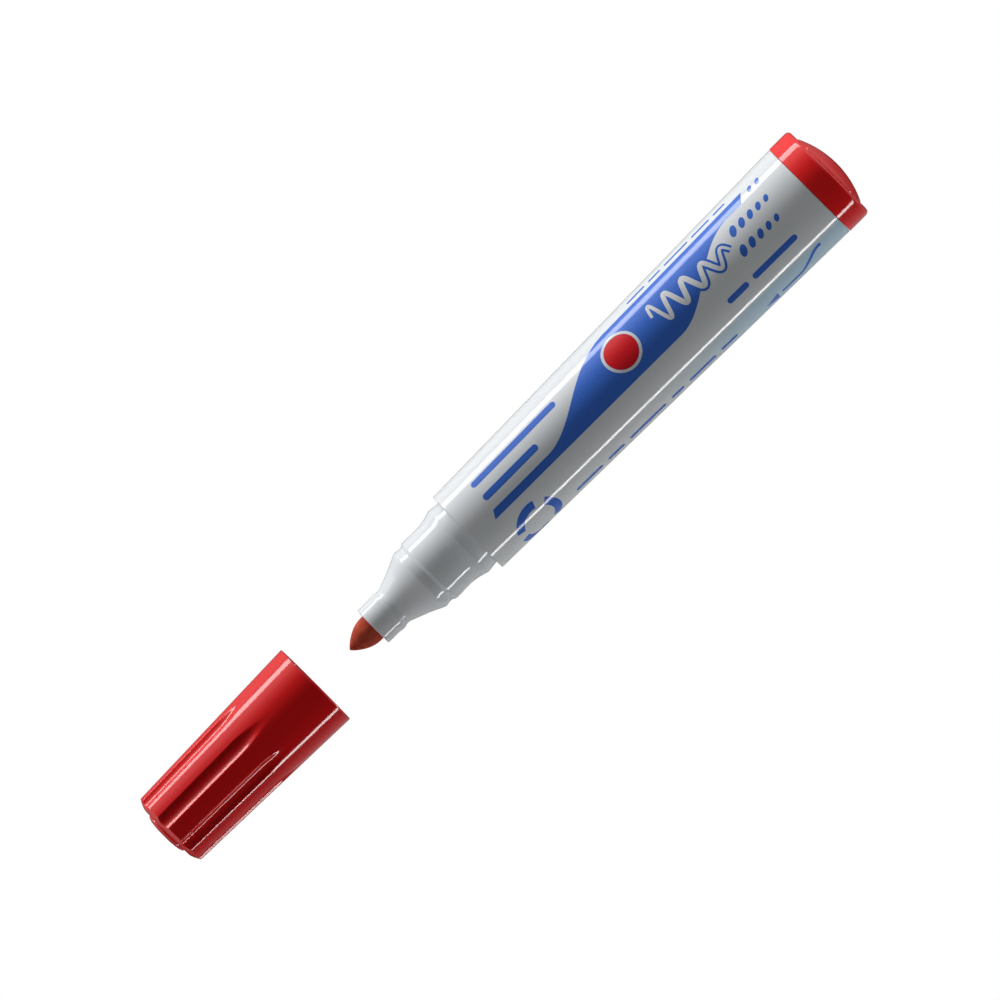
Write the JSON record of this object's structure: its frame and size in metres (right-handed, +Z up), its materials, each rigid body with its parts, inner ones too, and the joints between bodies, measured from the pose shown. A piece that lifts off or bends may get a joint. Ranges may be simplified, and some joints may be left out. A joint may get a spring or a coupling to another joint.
{
  "type": "whiteboard marker",
  "caption": "Tapered whiteboard marker with a bullet tip, beaded nose, domed end plug and a fluted pull-off cap with a sealing liner, cap drawn off in line with the barrel.",
  "frame": {"origin": "on the surface the marker lies on, under the middle of its length with the cap drawn off", "axes": "+X along the marker from the cap and writing tip to the end plug, +Y to the side, +Z up"},
  "size_m": [0.1696, 0.0206, 0.0205],
  "materials": {
    "barrel_white": "glossy white moulded plastic",
    "nose_white": "satin gloss white moulded plastic",
    "nib_fibre": "pressed fibre soaked in red ink",
    "reservoir_fibre": "bundled fibre soaked in red ink",
    "reservoir_film_clear": "thin wrapping film",
    "plug_red": "glossy red moulded plastic",
    "cap_red": "glossy red moulded plastic",
    "cap_liner_red": "red moulded plastic",
    "print_blue": "blue screen print on the barrel"
  },
  "bodies": {
    "marker": {"barrel": "barrel_white", "nose_section": "nose_white", "nib": "nib_fibre", "ink_reservoir": "reservoir_fibre", "reservoir_film": "reservoir_film_clear", "end_plug": "plug_red"},
    "liner": {"cap_liner": "cap_liner_red"},
    "cap": {"cap_shell": "cap_red"}
  },
  "joints": [
    {"name": "cap_pull", "type": "slide", "parent": "marker", "child": "liner", "axis": [-1, 0, 0], "range_m": [-0.0383, 0]},
    {"name": "cap_twist", "type": "hinge", "parent": "liner", "child": "cap", "pos_m": [-0.04651, 0, 0.01027], "axis": [-1, 0, 0], "continuous": true}
  ]
}
